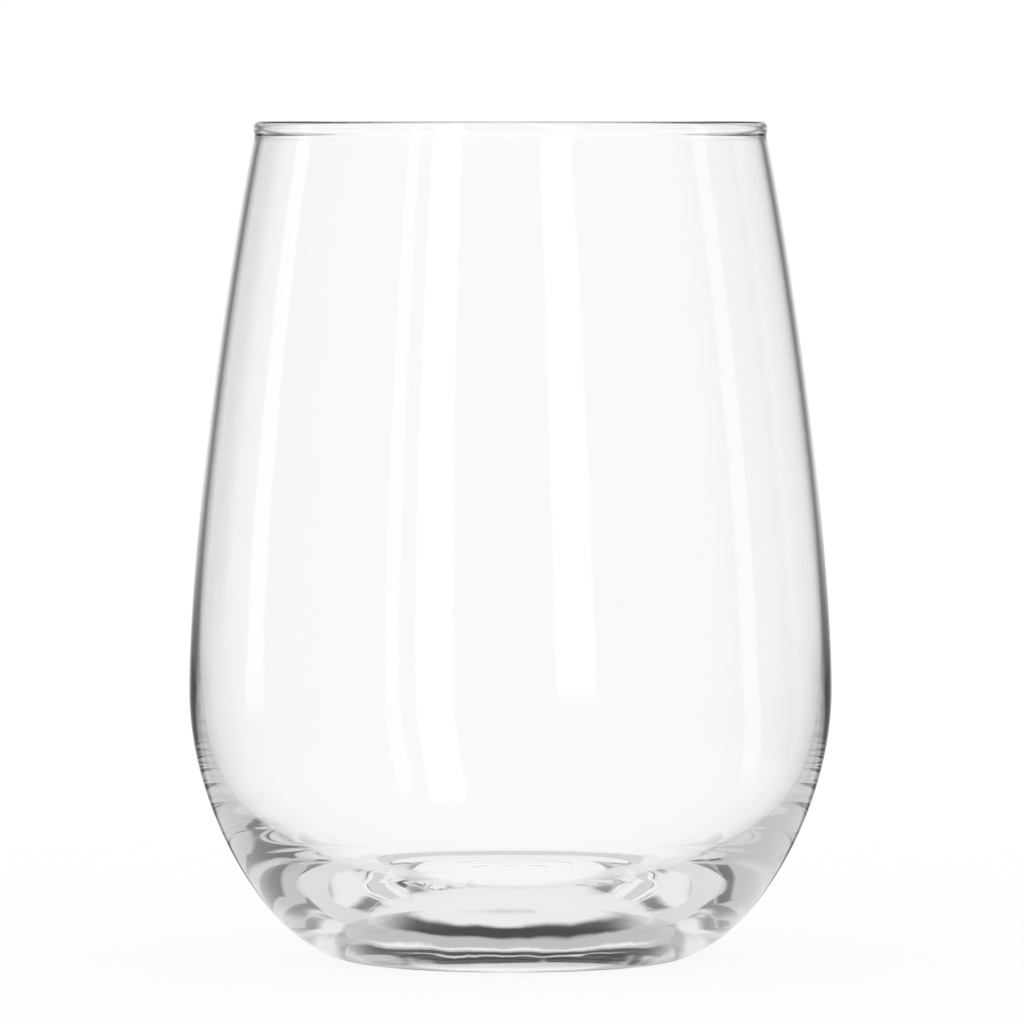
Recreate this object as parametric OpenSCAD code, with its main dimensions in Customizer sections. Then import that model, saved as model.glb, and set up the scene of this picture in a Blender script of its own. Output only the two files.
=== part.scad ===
// Stemless wine glass: one bowl of soda-lime glass, pressed and then blown in a mould.
// Its section is one closed outline, turned about the upright axis.
// The origin is the middle of the foot, on the table. Lengths are in millimetres, angles in degrees.

/* [Bowl] */
// Height from the table to the top of the rim
height = 115.8; // [104:0.1:130]
// Widest outside diameter, at the belly
belly_d = 88.9; // [82:0.1:100]
// Height of the belly above the table
belly_z = 37.2; // [32:0.1:44]
// Outside diameter of the neck, just under the rim's bead
neck_d = 70.8; // [62:0.1:80]
// Angle at which the wall leans inwards at the neck
neck_lean = 11.2; // [6:0.1:16]

/* [Wall] */
// Thickness of the wall at the neck
neck_wall = 0.8; // [0.6:0.05:1.6]
// Thickness of the wall where the inside is widest
belly_wall = 1.3; // [0.9:0.05:2.4]
// How far the inside's widest place lies above the outside's
belly_offset = 4.5; // [2:0.1:7]

/* [Base] */
// Outside diameter of the flat ring that the glass stands on
foot_d = 45.9; // [40:0.1:50]
// Angle at which the heel rises from the foot
heel_lift = 9.9; // [6:0.1:14]
// Diameter of the hollow under the base
punt_d = 40; // [34:0.1:43]
// Depth of the hollow under the base
punt_h = 0.6; // [0.4:0.05:1.2]
// Height of the inside floor above the table
floor_z = 4.6; // [4:0.1:6.5]
// Diameter of the flat part of the floor
floor_d = 37.7; // [30:0.1:42]
// Angle at which the inside rises from the edge of the floor
floor_lift = 41; // [30:1:60]

/* [Rim] */
// Height of the rounded bead that fire polishing leaves at the rim
bead_h = 2.4; // [2:0.1:3.2]
// Height of the bead's round crown
crown_h = 1; // [0.8:0.1:1.5]
// How far the bead stands out from the wall on the outside
bead_out = 0.35; // [0.2:0.05:0.6]
// How far the bead stands out from the wall on the inside
bead_in = 0.2; // [0.1:0.05:0.6]

/* [Floor rings] */
// Depth of the shallow rings that the plunger leaves on the floor
ring_h = 0.08; // [0.05:0.01:0.2]
// Number of rings between the middle and the edge of the floor
rings = 4; // [1:1:6]

/* [Hidden] */
belly_r = belly_d / 2;
neck_r = neck_d / 2;
foot_r = foot_d / 2;
punt_r = punt_d / 2;
floor_r = floor_d / 2;
neck_z = height - bead_h;
bead_z = height - crown_h;
inside_z = belly_z + belly_offset;

// Lengths of the curves' handles, as shares of the run or rise that each curve spans
heel_low_share = 0.5;
heel_high_share = 0.443;
shoulder_low_share = 0.206;
shoulder_high_share = 0.345;
inner_low_share = 0.352;
inner_high_share = 0.767;
inside_low_share = 0.297;
inside_high_share = 0.173;
bead_share = 0.45;

// Steps along each curve
heel_steps = 28;
wall_steps = 28;
blend_steps = 8;
crown_steps = 18;
punt_steps = 8;
ring_steps = 12;
turn_steps = 180;

// A point of the cubic curve with the four control points p, at t from 0 to 1
function bezier(p, t) =
    pow(1 - t, 3) * p[0]
    + 3 * pow(1 - t, 2) * t * p[1]
    + 3 * (1 - t) * pow(t, 2) * p[2]
    + pow(t, 3) * p[3];

// Points along a cubic curve, without its first one
function curve(p, steps) = [for (i = [1:steps]) bezier(p, i / steps)];

// A step of the given length in the direction of an angle from level
function step(length, angle) = length * [cos(angle), sin(angle)];

// Points over the upper half of an ellipse about a centre, without the first one
function crown(centre, half_w, half_h, steps) =
    [for (i = [1:steps]) centre + [half_w * cos(180 * i / steps), half_h * sin(180 * i / steps)]];

// Outside of the glass, from the foot up to the neck
function heel_outside() =
    let (run = belly_r - foot_r, foot = [foot_r, 0], belly = [belly_r, belly_z])
    curve([
        foot,
        foot + step(heel_low_share * run, heel_lift),
        belly - [0, heel_high_share * belly_z],
        belly
    ], heel_steps);

function wall_outside() =
    let (rise = neck_z - belly_z, belly = [belly_r, belly_z], neck = [neck_r, neck_z])
    curve([
        belly,
        belly + [0, shoulder_low_share * rise],
        neck - step(shoulder_high_share * rise, 90 + neck_lean),
        neck
    ], wall_steps);

// The bead: a blend from the neck, the round crown, and a blend down to the inside wall
function bead() =
    let (
        wall_r = neck_r - (bead_z - neck_z) * tan(neck_lean),
        outer = [wall_r + bead_out, bead_z],
        inner = [wall_r - neck_wall - bead_in, bead_z],
        neck = [neck_r, neck_z],
        neck_in = neck - [neck_wall, 0],
        handle = bead_share * (bead_z - neck_z)
    )
    concat(
        curve([neck, neck + step(handle, 90 + neck_lean), outer - [0, handle], outer], blend_steps),
        crown((outer + inner) / 2, (outer[0] - inner[0]) / 2, crown_h, crown_steps),
        curve([inner, inner - [0, handle], neck_in + step(handle, 90 + neck_lean), neck_in], blend_steps)
    );

// Inside of the glass, from the neck down to the edge of the floor
function wall_inside() =
    let (
        rise = neck_z - inside_z,
        neck_in = [neck_r - neck_wall, neck_z],
        inside = [belly_r - belly_wall, inside_z]
    )
    curve([
        neck_in,
        neck_in - step(inside_high_share * rise, 90 + neck_lean),
        inside + [0, inside_low_share * rise],
        inside
    ], wall_steps);

function heel_inside() =
    let (
        inside = [belly_r - belly_wall, inside_z],
        edge = [floor_r, floor_z],
        run = inside[0] - floor_r,
        rise = inside_z - floor_z
    )
    curve([
        inside,
        inside - [0, inner_high_share * rise],
        edge + step(inner_low_share * run, floor_lift),
        edge
    ], heel_steps);

// Floor, from its edge to the middle, with the plunger's rings fading out at the edge
function floor_height(share) =
    floor_z - ring_h * (1 - cos(360 * rings * share)) / 2 * (1 - pow(share, 2));

function floor_inside() =
    let (steps = rings * ring_steps)
    [for (i = [steps - 1:-1:0]) [floor_r * i / steps, floor_height(i / steps)]];

// Underside, from the middle of the hollow out to the flat ring
function underside() =
    concat(
        [for (i = [0:punt_steps]) let (share = i / punt_steps) [punt_r * share, punt_h * (1 - pow(share, 3))]],
        [[foot_r, 0]]
    );

module bowl() {
    color([0.93, 0.96, 0.96, 0.35])
        rotate_extrude($fn = turn_steps)
            polygon(concat(
                underside(),
                heel_outside(),
                wall_outside(),
                bead(),
                wall_inside(),
                heel_inside(),
                floor_inside()
            ));
}

bowl();
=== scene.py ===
"""Looks of a stemless wine glass: one clear bowl of soda-lime glass on a white studio floor.

The bowl is turned from one closed outline in millimetres, so that its surfaces refract as smoothly
as fire-polished glass does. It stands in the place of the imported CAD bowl, in metres.
"""

import logging
import math
from dataclasses import dataclass, field
from enum import Enum
from typing import Any

import bpy
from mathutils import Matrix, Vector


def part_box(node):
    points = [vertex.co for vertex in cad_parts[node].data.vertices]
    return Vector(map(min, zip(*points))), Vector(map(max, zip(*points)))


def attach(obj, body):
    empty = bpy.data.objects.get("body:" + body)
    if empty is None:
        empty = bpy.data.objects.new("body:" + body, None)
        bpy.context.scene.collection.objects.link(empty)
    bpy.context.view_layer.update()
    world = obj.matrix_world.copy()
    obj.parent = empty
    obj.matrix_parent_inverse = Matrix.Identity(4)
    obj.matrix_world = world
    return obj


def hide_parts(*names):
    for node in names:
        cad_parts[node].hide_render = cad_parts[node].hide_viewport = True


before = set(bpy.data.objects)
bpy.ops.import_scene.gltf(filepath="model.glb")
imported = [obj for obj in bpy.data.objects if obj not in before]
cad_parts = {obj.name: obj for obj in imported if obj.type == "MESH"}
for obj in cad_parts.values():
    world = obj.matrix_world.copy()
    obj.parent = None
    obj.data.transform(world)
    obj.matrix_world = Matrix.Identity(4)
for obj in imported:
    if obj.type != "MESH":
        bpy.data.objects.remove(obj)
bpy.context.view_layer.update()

logging.basicConfig(level=logging.INFO, format="%(message)s")
log = logging.getLogger("stemless_glass")

MM = 0.001
FULL_TURN = 2 * math.pi
UPRIGHT_DEGREES = 90.0
HALF_TURN_DEGREES = 180.0
# A panel with this half width in degrees closes behind the glass, with its soft edges out of sight
ALL_ROUND = 181.0
# A point nearer to the axis than this, in millimetres, is one vertex on the axis
AXIS_REACH = 0.001
# Light turns this many times at most inside the thick heel before it comes out
DEEPEST_PATH = 32
# Mirrorings and crossings are counted in whole numbers, so a comparison allows half a one
HALF_COUNT = 0.5
# The sRGB curve: straight up to the knee, and a power above it
SRGB_KNEE = 0.04045
SRGB_SLOPE = 12.92
SRGB_OFFSET = 0.055
SRGB_POWER = 2.4
BRIGHTEST_BYTE = 255

Point = tuple[float, float]
Source = bpy.types.Node | bpy.types.NodeSocket


class Skin(Enum):
    """The stretches of the bowl's outline, which differ in how the mould or the fire left them."""

    UNDERSIDE = "underside"
    OUTSIDE = "outside"
    RIM = "rim"
    INSIDE = "inside"
    FLOOR = "floor"


def linear(hex_colour: str) -> tuple[float, float, float, float]:
    """Turn an sRGB hex colour into linear values with full alpha.

    Args:
        hex_colour: Six hex digits, with or without a leading mark.

    Returns:
        The linear red, green, blue and alpha.
    """
    digits = hex_colour.lstrip("#")
    channels: list[float] = []
    for start in (0, 2, 4):
        share = int(digits[start:start + 2], 16) / BRIGHTEST_BYTE
        if share <= SRGB_KNEE:
            channels.append(share / SRGB_SLOPE)
        else:
            channels.append(((share + SRGB_OFFSET) / (1 + SRGB_OFFSET)) ** SRGB_POWER)
    red, green, blue = channels
    return red, green, blue, 1.0


def add_node(tree: bpy.types.NodeTree, kind: str, settings: dict[str | int, Any] | None = None,
             links: dict[str | int, Source] | None = None) -> bpy.types.Node:
    """Add a shader node with its settings and incoming links.

    Args:
        tree: The node tree that gets the node.
        kind: The node's type name.
        settings: Values by socket name or index, or by attribute name.
        links: Output sockets, or nodes for their first output, by the input name or index that they feed.

    Returns:
        The new node.
    """
    node = tree.nodes.new(kind)
    for key, value in (settings or {}).items():
        if isinstance(key, str) and hasattr(node, key):
            setattr(node, key, value)
        else:
            node.inputs[key].default_value = value
    for key, source in (links or {}).items():
        socket = source.outputs[0] if isinstance(source, bpy.types.Node) else source
        tree.links.new(socket, node.inputs[key])
    return node


def between(tree: bpy.types.NodeTree, value: Source, low: float, high: float,
            edge: float) -> bpy.types.Node:
    """Add the nodes that find where a value lies between two places.

    Args:
        tree: The node tree that gets the nodes.
        value: The value.
        low: The lower place.
        high: The upper place.
        edge: How far the soft change at each place reaches to either side of it.

    Returns:
        The node whose output is 1 between the places and 0 beyond them.
    """
    rise = add_node(tree, "ShaderNodeMapRange", {
        "interpolation_type": "SMOOTHSTEP", "From Min": low - edge, "From Max": low + edge,
    }, {"Value": value})
    fall = add_node(tree, "ShaderNodeMapRange", {
        "interpolation_type": "SMOOTHSTEP", "From Min": high - edge, "From Max": high + edge,
        "To Min": 1.0, "To Max": 0.0,
    }, {"Value": value})
    return add_node(tree, "ShaderNodeMath", {"operation": "MULTIPLY"}, {0: rise, 1: fall})


def bezier(controls: list[Point], share: float) -> Point:
    """Find a point of a cubic curve.

    Args:
        controls: The curve's four control points.
        share: How much of the curve lies before the point, from 0 to 1.

    Returns:
        The point.
    """
    left = 1 - share
    weights = (left ** 3, 3 * left ** 2 * share, 3 * left * share ** 2, share ** 3)
    radius = sum(weight * point[0] for weight, point in zip(weights, controls))
    height = sum(weight * point[1] for weight, point in zip(weights, controls))
    return radius, height


def curve(controls: list[Point], steps: int) -> list[Point]:
    """Return the points along a cubic curve, without its first one."""
    return [bezier(controls, i / steps) for i in range(1, steps + 1)]


def moved(start: Point, length: float, degrees: float) -> Point:
    """Return the point that lies a length away from a start, in a direction measured from level."""
    angle = math.radians(degrees)
    return start[0] + length * math.cos(angle), start[1] + length * math.sin(angle)


@dataclass(frozen=True)
class SodaLimeGlass:
    """Clear soda-lime glass, pressed and blown, with a fire-polished rim.

    It is nearly colourless. Its smooth skin gives the eye sharp reflections of the lights and, where
    the wall turns away, dark lines bent in from beside the bright background.
    """

    slot: str = "clear_glass"
    tint: str = "FEFEFE"
    ior: float = 1.52
    roughness: float = 0.0

    def material(self) -> bpy.types.Material:
        """Make the glass.

        Returns:
            The material.
        """
        material = bpy.data.materials.new("soda_lime_glass")
        material.use_nodes = True
        tree = material.node_tree
        tree.nodes.clear()
        shader = add_node(tree, "ShaderNodeBsdfPrincipled", {
            "Base Color": linear(self.tint),
            "IOR": self.ior,
            "Roughness": self.roughness,
            "Transmission Weight": 1.0,
        })
        add_node(tree, "ShaderNodeOutputMaterial", links={"Surface": shader})
        return material


@dataclass(frozen=True)
class Ripple:
    """One set of shallow waves round the axis, in millimetres.

    The waves rise and fall by this height, and their crests lie a spacing apart. Round the turn the
    crests sway in and out, once for each lobe.
    """

    height: float
    spacing: float
    lobes: int
    sway: float
    phase: float

    def at(self, radius: float, angle: float) -> float:
        """Return the wave's height at a radius and an angle."""
        bent = radius + self.sway * math.sin(self.lobes * angle + self.phase)
        return self.height * math.cos(FULL_TURN * bent / self.spacing + self.phase)


@dataclass
class Bowl:
    """The whole glass, from its foot to its rim bead. Lengths are in millimetres, angles in degrees."""

    # The outside of the heel and of the wall
    height: float
    belly_d: float
    belly_z: float = 37.2
    neck_d: float = 70.8
    neck_lean: float = 11.2
    foot_d: float = 45.9
    heel_lift: float = 9.9
    # The wall, and the inside of the heel, which is fitted to the lines that the heel mirrors
    neck_wall: float = 0.8
    belly_wall: float = 1.3
    belly_offset: float = 5.07
    floor_z: float = 3.07
    floor_d: float = 28.5
    floor_lift: float = 25.0
    # The hollow under the base, which flattens towards its middle by this power
    punt_d: float = 40.0
    punt_h: float = 0.6
    punt_power: int = 3
    # The bead that fire polishing leaves at the rim
    bead_h: float = 2.4
    crown_h: float = 1.0
    bead_out: float = 0.35
    bead_in: float = 0.2
    # Lengths of the curves' handles, as shares of the run or rise that each curve spans
    heel_low_share: float = 0.5
    heel_high_share: float = 0.443
    shoulder_low_share: float = 0.206
    shoulder_high_share: float = 0.345
    inner_low_share: float = 0.624
    inner_high_share: float = 0.649
    inside_low_share: float = 0.297
    inside_high_share: float = 0.173
    bead_share: float = 0.45
    # Steps round the turn and along each stretch
    turn_steps: int = 256
    curve_steps: int = 60
    crown_steps: int = 14
    flat_steps: int = 30
    # Unevenness that the plunger and the mould leave on the base. It dies out by this power towards its
    # reach, and over this share of the reach towards the axis
    floor_ripples: tuple[Ripple, ...] = (
        Ripple(height=0.035, spacing=3.9, lobes=3, sway=0.5, phase=0.4),
        Ripple(height=0.020, spacing=2.3, lobes=5, sway=0.35, phase=2.1),
    )
    punt_ripples: tuple[Ripple, ...] = (
        Ripple(height=0.030, spacing=3.1, lobes=4, sway=0.6, phase=1.3),
        Ripple(height=0.016, spacing=1.7, lobes=7, sway=0.3, phase=0.2),
    )
    floor_reach: float = 27.0
    fade_power: int = 4
    calm_share: float = 0.25
    finish: SodaLimeGlass = field(default_factory=SodaLimeGlass)

    @classmethod
    def from_frame(cls, node: str) -> "Bowl":
        """Return the bowl with the height and the width of its CAD node."""
        low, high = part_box(node)
        return cls(height=(high[2] - low[2]) / MM, belly_d=(high[0] - low[0]) / MM)

    def underside(self) -> list[Point]:
        """Draw the hollow under the base and the flat ring that the glass stands on.

        Returns:
            The points from the middle to the outer edge of the ring.
        """
        radius, power = self.punt_d / 2, self.punt_power
        shares = [i / self.flat_steps for i in range(self.flat_steps + 1)]
        hollow = [(radius * share, self.punt_h * (1 - share ** power)) for share in shares]
        half_way = (self.punt_d / 2 + self.foot_d / 2) / 2
        return hollow + [(half_way, 0.0), (self.foot_d / 2, 0.0)]

    def outside(self) -> list[Point]:
        """Draw the outside of the heel and of the wall.

        Returns:
            The points from the foot, without its own, up to the neck.
        """
        foot, belly = (self.foot_d / 2, 0.0), (self.belly_d / 2, self.belly_z)
        neck = (self.neck_d / 2, self.height - self.bead_h)
        run, rise = belly[0] - foot[0], neck[1] - belly[1]
        heel = curve([
            foot,
            moved(foot, self.heel_low_share * run, self.heel_lift),
            (belly[0], belly[1] - self.heel_high_share * self.belly_z),
            belly,
        ], self.curve_steps)
        wall = curve([
            belly,
            (belly[0], belly[1] + self.shoulder_low_share * rise),
            moved(neck, -self.shoulder_high_share * rise, UPRIGHT_DEGREES + self.neck_lean),
            neck,
        ], self.curve_steps)
        return heel + wall

    def rim(self) -> list[Point]:
        """Draw the bead: a blend from the neck, the round crown, and a blend to the inside wall.

        Returns:
            The points from the neck, without its own, to the inside wall at the same height.
        """
        neck_z, bead_z = self.height - self.bead_h, self.height - self.crown_h
        neck, neck_in = (self.neck_d / 2, neck_z), (self.neck_d / 2 - self.neck_wall, neck_z)
        wall_r = neck[0] - (bead_z - neck_z) * math.tan(math.radians(self.neck_lean))
        outer = (wall_r + self.bead_out, bead_z)
        inner = (wall_r - self.neck_wall - self.bead_in, bead_z)
        handle = self.bead_share * (bead_z - neck_z)
        lean = UPRIGHT_DEGREES + self.neck_lean
        up = curve([neck, moved(neck, handle, lean), (outer[0], bead_z - handle), outer], self.crown_steps)
        down = curve([inner, (inner[0], bead_z - handle), moved(neck_in, handle, lean), neck_in],
                     self.crown_steps)
        middle, half = (outer[0] + inner[0]) / 2, (outer[0] - inner[0]) / 2
        angles = [math.pi * i / (2 * self.crown_steps) for i in range(1, 2 * self.crown_steps + 1)]
        crown = [(middle + half * math.cos(a), bead_z + self.crown_h * math.sin(a)) for a in angles]
        return up + crown + down

    def inside(self) -> list[Point]:
        """Draw the inside of the wall and of the heel.

        Returns:
            The points from the neck, without its own, down to the edge of the flat floor.
        """
        neck_in = (self.neck_d / 2 - self.neck_wall, self.height - self.bead_h)
        widest = (self.belly_d / 2 - self.belly_wall, self.belly_z + self.belly_offset)
        edge = (self.floor_d / 2, self.floor_z)
        rise, drop, run = neck_in[1] - widest[1], widest[1] - edge[1], widest[0] - edge[0]
        wall = curve([
            neck_in,
            moved(neck_in, -self.inside_high_share * rise, UPRIGHT_DEGREES + self.neck_lean),
            (widest[0], widest[1] + self.inside_low_share * rise),
            widest,
        ], self.curve_steps)
        heel = curve([
            widest,
            (widest[0], widest[1] - self.inner_high_share * drop),
            moved(edge, self.inner_low_share * run, self.floor_lift),
            edge,
        ], self.curve_steps)
        return wall + heel

    def floor(self) -> list[Point]:
        """Return the flat middle of the floor, from its edge inwards."""
        steps = self.flat_steps
        return [(self.floor_d / 2 * i / steps, self.floor_z) for i in range(steps - 1, -1, -1)]

    def outline(self) -> list[tuple[Skin, Point]]:
        """Draw the whole closed outline.

        Returns:
            Its points, each with the stretch that it belongs to.
        """
        stretches = (
            (Skin.UNDERSIDE, self.underside()), (Skin.OUTSIDE, self.outside()), (Skin.RIM, self.rim()),
            (Skin.INSIDE, self.inside()), (Skin.FLOOR, self.floor()),
        )
        return [(skin, point) for skin, points in stretches for point in points]

    def unevenness(self, skin: Skin, radius: float, angle: float) -> float:
        """Find how far the plunger or the mould left a place of the base too high.

        Args:
            skin: The stretch that the place belongs to.
            radius: The place's distance from the axis, in millimetres.
            angle: The place's angle round the axis, in radians.

        Returns:
            The height to add, in millimetres.
        """
        if skin is Skin.UNDERSIDE:
            reach, ripples = self.punt_d / 2, self.punt_ripples
        elif skin in (Skin.FLOOR, Skin.INSIDE):
            reach, ripples = self.floor_reach, self.floor_ripples
        else:
            return 0.0
        if radius >= reach:
            return 0.0
        fade = 1 - (radius / reach) ** self.fade_power
        calm = min(1.0, radius / (self.calm_share * reach))
        return fade * calm * sum(ripple.at(radius, angle) for ripple in ripples)

    def faces(self, rings: list[list[int]]) -> list[tuple[int, ...]]:
        """Join each ring of vertices to the next one.

        Args:
            rings: The vertices' indices, in one list for each point of the outline.

        Returns:
            The faces, all facing out of the glass.
        """
        faces: list[tuple[int, ...]] = []
        for lower, upper in zip(rings, rings[1:]):
            for step in range(self.turn_steps):
                after = (step + 1) % self.turn_steps
                if len(lower) == 1:
                    faces.append((lower[0], upper[after], upper[step]))
                elif len(upper) == 1:
                    faces.append((lower[step], lower[after], upper[0]))
                else:
                    faces.append((lower[step], lower[after], upper[after], upper[step]))
        return faces

    def mesh(self) -> bpy.types.Mesh:
        """Turn the outline about the axis.

        Returns:
            The closed mesh, in metres.
        """
        vertices: list[tuple[float, float, float]] = []
        rings: list[list[int]] = []
        for skin, (radius, height) in self.outline():
            if radius < AXIS_REACH:
                rings.append([len(vertices)])
                vertices.append((0.0, 0.0, height * MM))
                continue
            rings.append(list(range(len(vertices), len(vertices) + self.turn_steps)))
            for step in range(self.turn_steps):
                angle = FULL_TURN * step / self.turn_steps
                z = height + self.unevenness(skin, radius, angle)
                vertices.append((radius * MM * math.cos(angle), radius * MM * math.sin(angle), z * MM))
        mesh = bpy.data.meshes.new("bowl_glass")
        mesh.from_pydata(vertices, [], self.faces(rings))
        mesh.validate()
        mesh.polygons.foreach_set("use_smooth", [True] * len(mesh.polygons))
        return mesh

    def build(self) -> bpy.types.Object:
        """Build the bowl and dress it.

        Returns:
            The bowl's object, riding on the root body in place of the CAD node.
        """
        mesh = self.mesh()
        mesh.materials.append(self.finish.material())
        bowl = bpy.data.objects.new("bowl_glass", mesh)
        bpy.context.scene.collection.objects.link(bowl)
        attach(bowl, "root")
        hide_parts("bowl")
        return bowl


@dataclass(frozen=True)
class Panel:
    """A light or dark panel of the set: painted light or painted shade that the glass shows only in its
    reflections. All angles are in degrees.

    The azimuth is 0 towards the camera and positive to the camera's right, and the heights are measured
    above level. The sides are soft over the edge and the ends over the end. A panel that leans shifts
    its azimuth by that share of the height. Some panels show only in the glass's outer skin.
    """

    azimuth: float
    half_width: float
    brightness: float
    lowest: float = -90.0
    highest: float = 90.0
    edge: float = 1.0
    end: float = 1.0
    lean: float = 0.0
    outer_skin_only: bool = False

    def mask(self, tree: bpy.types.NodeTree, turn: Source, height: Source) -> bpy.types.Node:
        """Add the nodes that find where the panel stands.

        Args:
            tree: The node tree that gets the nodes.
            turn: The azimuth of a direction, in degrees.
            height: The height of the direction above level, in degrees.

        Returns:
            The node whose output is 1 inside the panel and 0 outside it.
        """
        leant = add_node(tree, "ShaderNodeMath", {
            "operation": "MULTIPLY_ADD", 1: -self.lean, 2: -self.azimuth,
        }, {0: height})
        shifted = add_node(tree, "ShaderNodeMath", {"operation": "ADD"}, {0: turn, 1: leant})
        wrapped = add_node(tree, "ShaderNodeMath", {
            "operation": "WRAP", 1: HALF_TURN_DEGREES, 2: -HALF_TURN_DEGREES,
        }, {0: shifted})
        across = between(tree, wrapped, -self.half_width, self.half_width, self.edge)
        along = between(tree, height, self.lowest, self.highest, self.end)
        return add_node(tree, "ShaderNodeMath", {"operation": "MULTIPLY"}, {0: across, 1: along})


@dataclass(frozen=True)
class WhiteSet:
    """The white set round the glass. Straight through the glass it is white all round.

    Light that was mirrored in the glass sees painted reflections instead: grey surroundings and the panels
    in them, so that the wall's edges and the thick heel are drawn in painted greys, painted shade and
    painted highlights. A later panel covers an earlier one. The far wall shows one even grey as a painted
    reflection: its light has crossed at least four skins and was mirrored once.
    """

    colour: str = "FFFFFF"
    straight_through: float = 1.0
    surround: float = 0.65
    panels: tuple[Panel, ...] = (
        # Painted reflections: a grey band all round, two dark flags behind the glass with white between
        # them, and one dark flag to each side
        Panel(0.0, ALL_ROUND, 0.5, lowest=-16.0, highest=20.0, end=5.0),
        Panel(158.0, 11.0, 0.2, lowest=-20.0, highest=30.0, edge=2.0, end=5.0),
        Panel(-158.0, 11.0, 0.2, lowest=-20.0, highest=30.0, edge=2.0, end=5.0),
        Panel(180.0, 14.0, 0.85, lowest=-16.0, edge=8.0, end=3.0),
        Panel(103.0, 19.0, 0.10, lowest=-15.0, highest=20.0, edge=3.0, end=3.0),
        Panel(-136.0, 8.0, 0.08, lowest=-3.0, highest=14.0, edge=3.0, end=3.0),
        # Painted reflection of a bright ceiling, and a painted sheen on the outer skin
        Panel(0.0, ALL_ROUND, 0.9, lowest=50.0, end=5.0),
        Panel(0.0, 150.0, 0.88, edge=4.0, outer_skin_only=True),
        # Painted highlights that stand for the lamps, as strips in the outer skin only: far left, far right
        # and four between them
        Panel(-104.0, 5.0, 1.8, lowest=-4.0, end=4.0, lean=-0.3, outer_skin_only=True),
        Panel(95.0, 4.2, 1.8, lowest=-14.0, end=8.0, outer_skin_only=True),
        Panel(-63.0, 6.5, 0.9, edge=3.0, lowest=-4.0, end=4.0, outer_skin_only=True),
        Panel(-42.5, 3.0, 1.8, lowest=-25.0, lean=-0.11, outer_skin_only=True),
        Panel(-27.0, 6.8, 2.4, lowest=-28.0, lean=-0.11, outer_skin_only=True),
        Panel(23.5, 7.2, 2.2, lowest=-1.4, lean=-0.14, outer_skin_only=True),
    )
    far_wall: float = 0.88
    far_crossings: float = 4.0

    def angles(self, tree: bpy.types.NodeTree, direction: Source) -> tuple[bpy.types.Node, bpy.types.Node]:
        """Add the nodes that turn a direction into two angles.

        Args:
            tree: The node tree that gets the nodes.
            direction: The direction, as a vector of any length.

        Returns:
            The nodes of the azimuth and of the height above level, in degrees, as a panel has them.
        """
        parts = add_node(tree, "ShaderNodeSeparateXYZ", links={0: direction})
        toward = add_node(tree, "ShaderNodeMath", {
            "operation": "MULTIPLY", 1: -1.0,
        }, {0: parts.outputs["Y"]})
        flat = add_node(tree, "ShaderNodeVectorMath", {
            "operation": "MULTIPLY", 1: (1.0, 1.0, 0.0),
        }, {0: direction})
        reach = add_node(tree, "ShaderNodeVectorMath", {"operation": "LENGTH"}, {0: flat})
        turn = add_node(tree, "ShaderNodeMath", {
            "operation": "ARCTAN2",
        }, {0: parts.outputs["X"], 1: toward})
        height = add_node(tree, "ShaderNodeMath", {
            "operation": "ARCTAN2",
        }, {0: parts.outputs["Z"], 1: reach.outputs["Value"]})
        turn_degrees = add_node(tree, "ShaderNodeMath", {"operation": "DEGREES"}, {0: turn})
        height_degrees = add_node(tree, "ShaderNodeMath", {"operation": "DEGREES"}, {0: height})
        return turn_degrees, height_degrees

    def panels_seen(self, tree: bpy.types.NodeTree, direction: Source,
                    crossings: Source) -> bpy.types.Node:
        """Add the nodes that find how bright the surroundings and their panels are.

        Args:
            tree: The node tree that gets the nodes.
            direction: The direction in which the light looks.
            crossings: How many skins of the glass the light has crossed.

        Returns:
            The node of the brightness in that direction.
        """
        turn, height = self.angles(tree, direction)
        outer_skin = add_node(tree, "ShaderNodeMath", {
            "operation": "LESS_THAN", 1: HALF_COUNT,
        }, {0: crossings})
        level = add_node(tree, "ShaderNodeValue")
        level.outputs[0].default_value = self.surround
        for panel in self.panels:
            mask = panel.mask(tree, turn, height)
            # Painted highlights and the painted sheen show only in light mirrored by the outer skin
            if panel.outer_skin_only:
                mask = add_node(tree, "ShaderNodeMath", {"operation": "MULTIPLY"}, {0: mask, 1: outer_skin})
            level = add_node(tree, "ShaderNodeMix", {
                "data_type": "FLOAT", 3: panel.brightness,
            }, {0: mask, 2: level})
        return level

    def brightness(self, tree: bpy.types.NodeTree, direction: Source) -> bpy.types.Node:
        """Add the nodes that find how bright the set is for light on any path.

        Args:
            tree: The node tree that gets the nodes.
            direction: The direction in which the light looks.

        Returns:
            The node of the brightness in that direction.
        """
        path = add_node(tree, "ShaderNodeLightPath")
        crossings, mirrorings = path.outputs["Transmission Depth"], path.outputs["Glossy Depth"]
        level = self.panels_seen(tree, direction, crossings)
        # The far wall's one even grey, a painted reflection for light that crossed four skins and was
        # mirrored once
        crossed = add_node(tree, "ShaderNodeMath", {
            "operation": "GREATER_THAN", 1: self.far_crossings - HALF_COUNT,
        }, {0: crossings})
        once = add_node(tree, "ShaderNodeMath", {
            "operation": "COMPARE", 1: 1.0, 2: HALF_COUNT,
        }, {0: mirrorings})
        far = add_node(tree, "ShaderNodeMath", {"operation": "MULTIPLY"}, {0: crossed, 1: once})
        level = add_node(tree, "ShaderNodeMix", {
            "data_type": "FLOAT", 3: self.far_wall,
        }, {0: far, 2: level})
        # Light that wasn't mirrored sees the set white; mirrored light sees the painted reflections
        mirrored = add_node(tree, "ShaderNodeMath", {"operation": "MINIMUM", 1: 1.0}, {0: mirrorings})
        return add_node(tree, "ShaderNodeMix", {
            "data_type": "FLOAT", 2: self.straight_through,
        }, {0: mirrored, 3: level})


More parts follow.
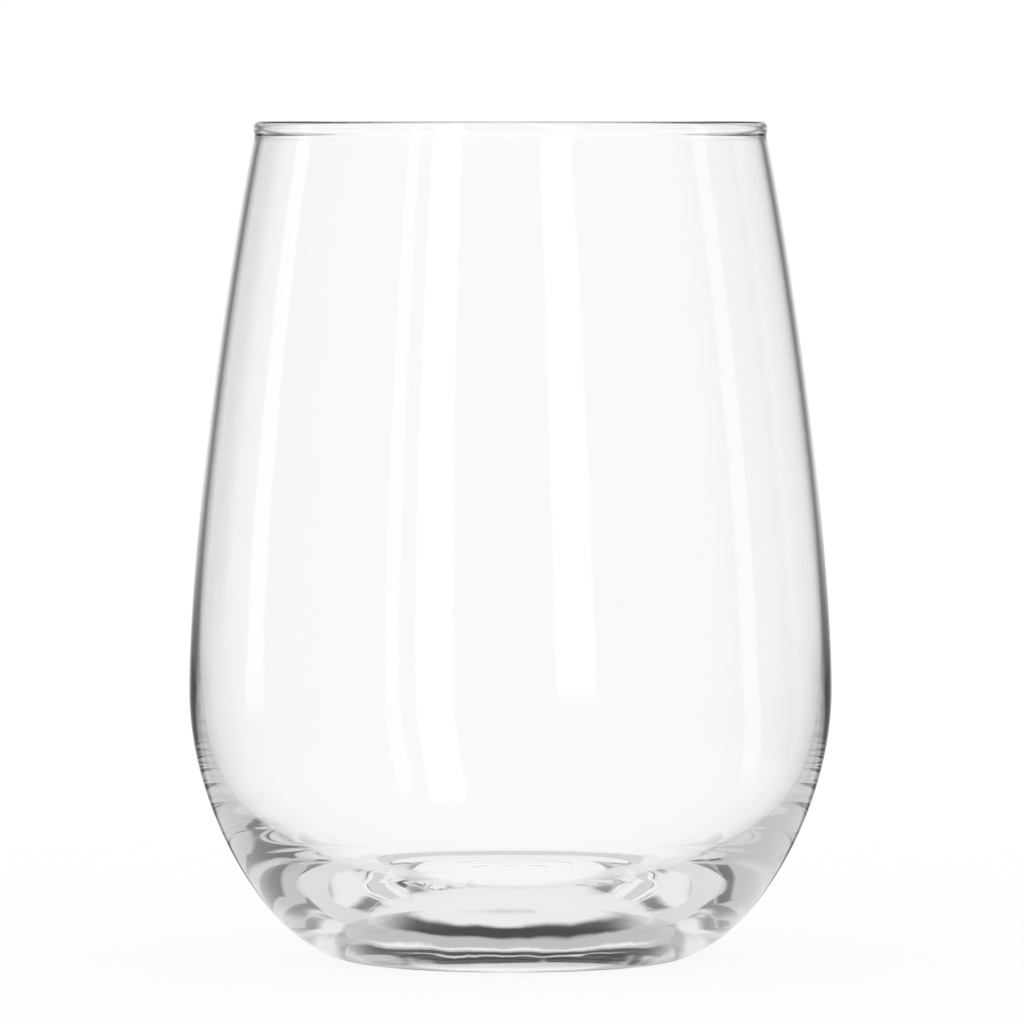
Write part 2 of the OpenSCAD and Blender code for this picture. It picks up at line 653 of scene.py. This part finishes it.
@dataclass(frozen=True)
class PaintedArc:
    """A painted arc on the floor, which only light mirrored in the heel sees. Lengths are in metres.

    A dark one is painted shade under and round the foot, and a light one is painted light. It is what a
    ring keeps within a distance aside of the plane through the camera and the glass's axis.
    The ring's centre lies this far behind the axis. The ring's edges are soft over the edge, and the
    arc's ends over the end. It shows only in light that was mirrored this many times.
    """

    inner: float
    outer: float
    level: float
    aside: float
    end: float = 0.003
    edge: float = 0.0005
    behind: float = 0.0
    mirrorings: float = 1.0

    def mask(self, tree: bpy.types.NodeTree, place: Source, waver: Source,
             mirrorings: Source) -> bpy.types.Node:
        """Add the nodes that find where light sees the arc.

        Args:
            tree: The node tree that gets the nodes.
            place: A place on the floor, in metres.
            waver: How far the ring wavers inwards at that place, in metres.
            mirrorings: How many times the light was mirrored.

        Returns:
            The node whose output is 1 on the arc and 0 beside it.
        """
        distance = add_node(tree, "ShaderNodeVectorMath", {
            "operation": "DISTANCE", 1: (0.0, self.behind, 0.0),
        }, {0: place})
        reach = add_node(tree, "ShaderNodeMath", {
            "operation": "ADD",
        }, {0: distance.outputs["Value"], 1: waver})
        parts = add_node(tree, "ShaderNodeSeparateXYZ", links={0: place})
        ring = between(tree, reach, self.inner, self.outer, self.edge)
        stretch = between(tree, parts.outputs["X"], -self.aside, self.aside, self.end)
        drawn = add_node(tree, "ShaderNodeMath", {"operation": "MULTIPLY"}, {0: ring, 1: stretch})
        counted = add_node(tree, "ShaderNodeMath", {
            "operation": "COMPARE", 1: self.mirrorings, 2: HALF_COUNT,
        }, {0: mirrorings})
        return add_node(tree, "ShaderNodeMath", {"operation": "MULTIPLY"}, {0: counted, 1: drawn})


@dataclass(frozen=True)
class WhiteBoard:
    """Matt white painted board, laid flat under the glass. Lengths are in metres.

    It gives the eye an even white with a soft shadow near the foot. Beyond the far distance it shines
    wholly by itself, as the set does. Within the near distance only the near share of it shines, and the
    rest takes the glass's shadow. In the glass it shows a painted reflection of the set's panels, as seen
    from the heart of the heel, and each painted arc of shade and light under and round the foot. Each
    painted arc wavers by the given width over patches of the given length, as if seen through the streaks
    of pressed glass.
    """

    colour: str = "F8F8F8"
    near: float = 0.05
    far: float = 0.5
    near_share: float = 0.9
    heart: tuple[float, float, float] = (0.0, -0.022, 0.03)
    # Painted shade and painted light under and round the foot, which only light mirrored in the heel sees:
    # the dark ones are painted shade, the light ones painted light
    painted_arcs: tuple[PaintedArc, ...] = (
        PaintedArc(0.0, 0.030, 0.85, aside=0.030, mirrorings=3.0),
        PaintedArc(0.0, 0.034, 0.85, aside=0.024),
        PaintedArc(0.0, 0.0350, 0.50, aside=0.024, behind=0.0144),
        PaintedArc(0.0232, 0.0234, 0.30, aside=0.0170, edge=0.0001, behind=-0.0050),
        PaintedArc(0.0221, 0.0224, 0.25, aside=0.0180, edge=0.0002, behind=-0.0050),
        PaintedArc(0.0294, 0.0296, 0.55, aside=0.0190, edge=0.0001, behind=0.0030),
        PaintedArc(0.0303, 0.0306, 0.60, aside=0.0190, edge=0.0002, behind=0.0050),
        PaintedArc(0.0350, 0.0376, 0.01, aside=0.0180, end=0.005, behind=0.0144),
        PaintedArc(0.0262, 0.0265, 0.95, aside=0.0190, edge=0.0002, behind=0.0070),
        PaintedArc(0.0242, 0.0259, 0.01, aside=0.0215, edge=0.0002, behind=0.0072),
        PaintedArc(0.0249, 0.0251, 0.70, aside=0.0150, edge=0.0001, behind=0.0072),
    )
    waver: float = 0.0009
    waver_length: float = 0.007143
    waver_detail: float = 3.0

    def with_painted_arcs(self, tree: bpy.types.NodeTree, place: Source, level: Source,
                  mirrorings: Source) -> bpy.types.Node:
        """Add the nodes that draw each painted arc of shade and light over the set's painted reflection.

        Args:
            tree: The node tree that gets the nodes.
            place: A place on the floor, in metres.
            level: The set's brightness there.
            mirrorings: How many times the light was mirrored.

        Returns:
            The node of the brightness with the arcs.
        """
        noise = add_node(tree, "ShaderNodeTexNoise", {
            "Scale": 1 / self.waver_length, "Detail": self.waver_detail,
        }, {"Vector": place})
        waver = add_node(tree, "ShaderNodeMath", {
            "operation": "MULTIPLY_ADD", 1: 2 * self.waver, 2: -self.waver,
        }, {0: noise.outputs["Fac"]})
        # Each painted arc lays its level over the set's painted reflection: painted shade where dark,
        # painted light where bright
        for arc in self.painted_arcs:
            mask = arc.mask(tree, place, waver, mirrorings)
            level = add_node(tree, "ShaderNodeMix", {
                "data_type": "FLOAT", 3: arc.level,
            }, {0: mask, 2: level})
        return level

    def shining_share(self, tree: bpy.types.NodeTree, place: Source,
                      path: bpy.types.Node) -> bpy.types.Node:
        """Add the nodes that find how much of the board shines by itself.

        Args:
            tree: The node tree that gets the nodes.
            place: A place on the floor, in metres.
            path: The node of the light's path.

        Returns:
            The node of the share. It is 1 for light that has met the glass, rises with the distance where
            the camera looks straight at the board, and is 0 for other light.
        """
        reach = add_node(tree, "ShaderNodeVectorMath", {"operation": "LENGTH"}, {0: place})
        fade = add_node(tree, "ShaderNodeMapRange", {
            "From Min": self.near, "From Max": self.far, "To Min": self.near_share, "To Max": 1.0,
        }, {"Value": reach.outputs["Value"]})
        looked_at = add_node(tree, "ShaderNodeMath", {
            "operation": "MULTIPLY",
        }, {0: path.outputs["Is Camera Ray"], 1: fade})
        in_glass = add_node(tree, "ShaderNodeMath", {
            "operation": "MAXIMUM",
        }, {0: path.outputs["Is Glossy Ray"], 1: path.outputs["Is Transmission Ray"]})
        return add_node(tree, "ShaderNodeMath", {"operation": "MAXIMUM"}, {0: in_glass, 1: looked_at})

    def material(self, white_set: WhiteSet) -> bpy.types.Material:
        """Make the board.

        Args:
            white_set: The set whose panels are painted on the board, as a reflection that the glass sees.

        Returns:
            The material.
        """
        material = bpy.data.materials.new("white_floor")
        material.use_nodes = True
        tree = material.node_tree
        tree.nodes.clear()
        place = add_node(tree, "ShaderNodeNewGeometry").outputs["Position"]
        path = add_node(tree, "ShaderNodeLightPath")
        from_heart = add_node(tree, "ShaderNodeVectorMath", {
            "operation": "SUBTRACT", 1: self.heart,
        }, {0: place})
        # The set's panels, painted on the board as a reflection seen from the heart of the heel, which only
        # light from the glass sees
        painted_reflection = white_set.brightness(tree, from_heart)
        level = self.with_painted_arcs(tree, place, painted_reflection, path.outputs["Glossy Depth"])
        shine = add_node(tree, "ShaderNodeEmission", {
            "Color": linear(white_set.colour),
        }, {"Strength": level})
        board = add_node(tree, "ShaderNodeBsdfDiffuse", {"Color": linear(self.colour)})
        share = self.shining_share(tree, place, path)
        mixed = add_node(tree, "ShaderNodeMixShader", links={0: share, 1: board, 2: shine})
        add_node(tree, "ShaderNodeOutputMaterial", links={"Surface": mixed})
        return material


@dataclass
class Studio:
    """The studio: the white set all round, and the round floor under the glass. Lengths are in metres."""

    floor_radius: float = 3.0
    floor_corners: int = 128
    white_set: WhiteSet = field(default_factory=WhiteSet)
    board: WhiteBoard = field(default_factory=WhiteBoard)

    def hang_set(self) -> bpy.types.World:
        """Give the scene the set as its world.

        Returns:
            The world.
        """
        world = bpy.data.worlds.new("white_set")
        bpy.context.scene.world = world
        world.use_nodes = True
        tree = world.node_tree
        tree.nodes.clear()
        place = add_node(tree, "ShaderNodeTexCoord")
        # The world is white to the camera and straight through the glass, and holds the painted reflections
        # and painted highlights that light mirrored in the glass sees
        level = self.white_set.brightness(tree, place.outputs["Generated"])
        background = add_node(tree, "ShaderNodeBackground", {
            "Color": linear(self.white_set.colour),
        }, {"Strength": level})
        add_node(tree, "ShaderNodeOutputWorld", links={"Surface": background})
        return world

    def lay_floor(self) -> bpy.types.Object:
        """Lay the floor.

        Returns:
            The floor's object, which isn't part of the glass.
        """
        bpy.ops.mesh.primitive_circle_add(
            radius=self.floor_radius, vertices=self.floor_corners, fill_type="NGON")
        floor = bpy.context.object
        floor.name = "floor"
        floor.data.materials.append(self.board.material(self.white_set))
        return floor


@dataclass
class Viewpoint:
    """The camera of the photograph: level with the rim, from 1.3 m away, through a long lens.

    It is turned down a little, so that its own level shows at the rim's row of the picture. Places in
    the picture are in pixels, the sensor is in millimetres and other lengths are in metres.
    """

    distance: float = 1.3
    focal_px: float = 9407.0
    frame_px: float = 1024.0
    rim_row_px: float = 121.3
    axis_column_px: float = 510.5
    sensor: float = 36.0
    nearest: float = 0.01
    farthest: float = 100.0

    def place(self) -> bpy.types.Object:
        """Set the camera up and make it the scene's camera.

        Returns:
            The camera.
        """
        data = bpy.data.cameras.new("camera")
        camera = bpy.data.objects.new("camera", data)
        bpy.context.scene.collection.objects.link(camera)
        bpy.context.scene.camera = camera
        rim_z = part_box("bowl")[1][2]
        middle = self.frame_px / 2
        pitch = math.atan((middle - self.rim_row_px) / self.focal_px)
        aside = (middle - self.axis_column_px) / self.focal_px * self.distance
        camera.location = (aside, -self.distance, rim_z)
        camera.rotation_euler = (math.pi / 2 - pitch, 0.0, 0.0)
        data.sensor_width = self.sensor
        data.lens = self.focal_px / self.frame_px * self.sensor
        data.clip_start = self.nearest
        data.clip_end = self.farthest
        return camera


def main() -> None:
    """Build the viewpoint, the bowl and the studio in order."""
    scene = bpy.context.scene
    scene.view_settings.view_transform = "Standard"
    scene.cycles.max_bounces = DEEPEST_PATH
    scene.cycles.glossy_bounces = DEEPEST_PATH
    scene.cycles.transmission_bounces = DEEPEST_PATH
    camera = Viewpoint().place()
    log.info("%s: lens of %.0f mm", camera.name, camera.data.lens)
    bowl = Bowl.from_frame("bowl").build()
    log.info("%s: %d faces", bowl.name, len(bowl.data.polygons))
    studio = Studio()
    world = studio.hang_set()
    log.info("%s: %d panels", world.name, len(studio.white_set.panels))
    floor = studio.lay_floor()
    log.info("%s: %d arcs under the foot", floor.name, len(studio.board.painted_arcs))


if __name__ == "__main__":
    main()
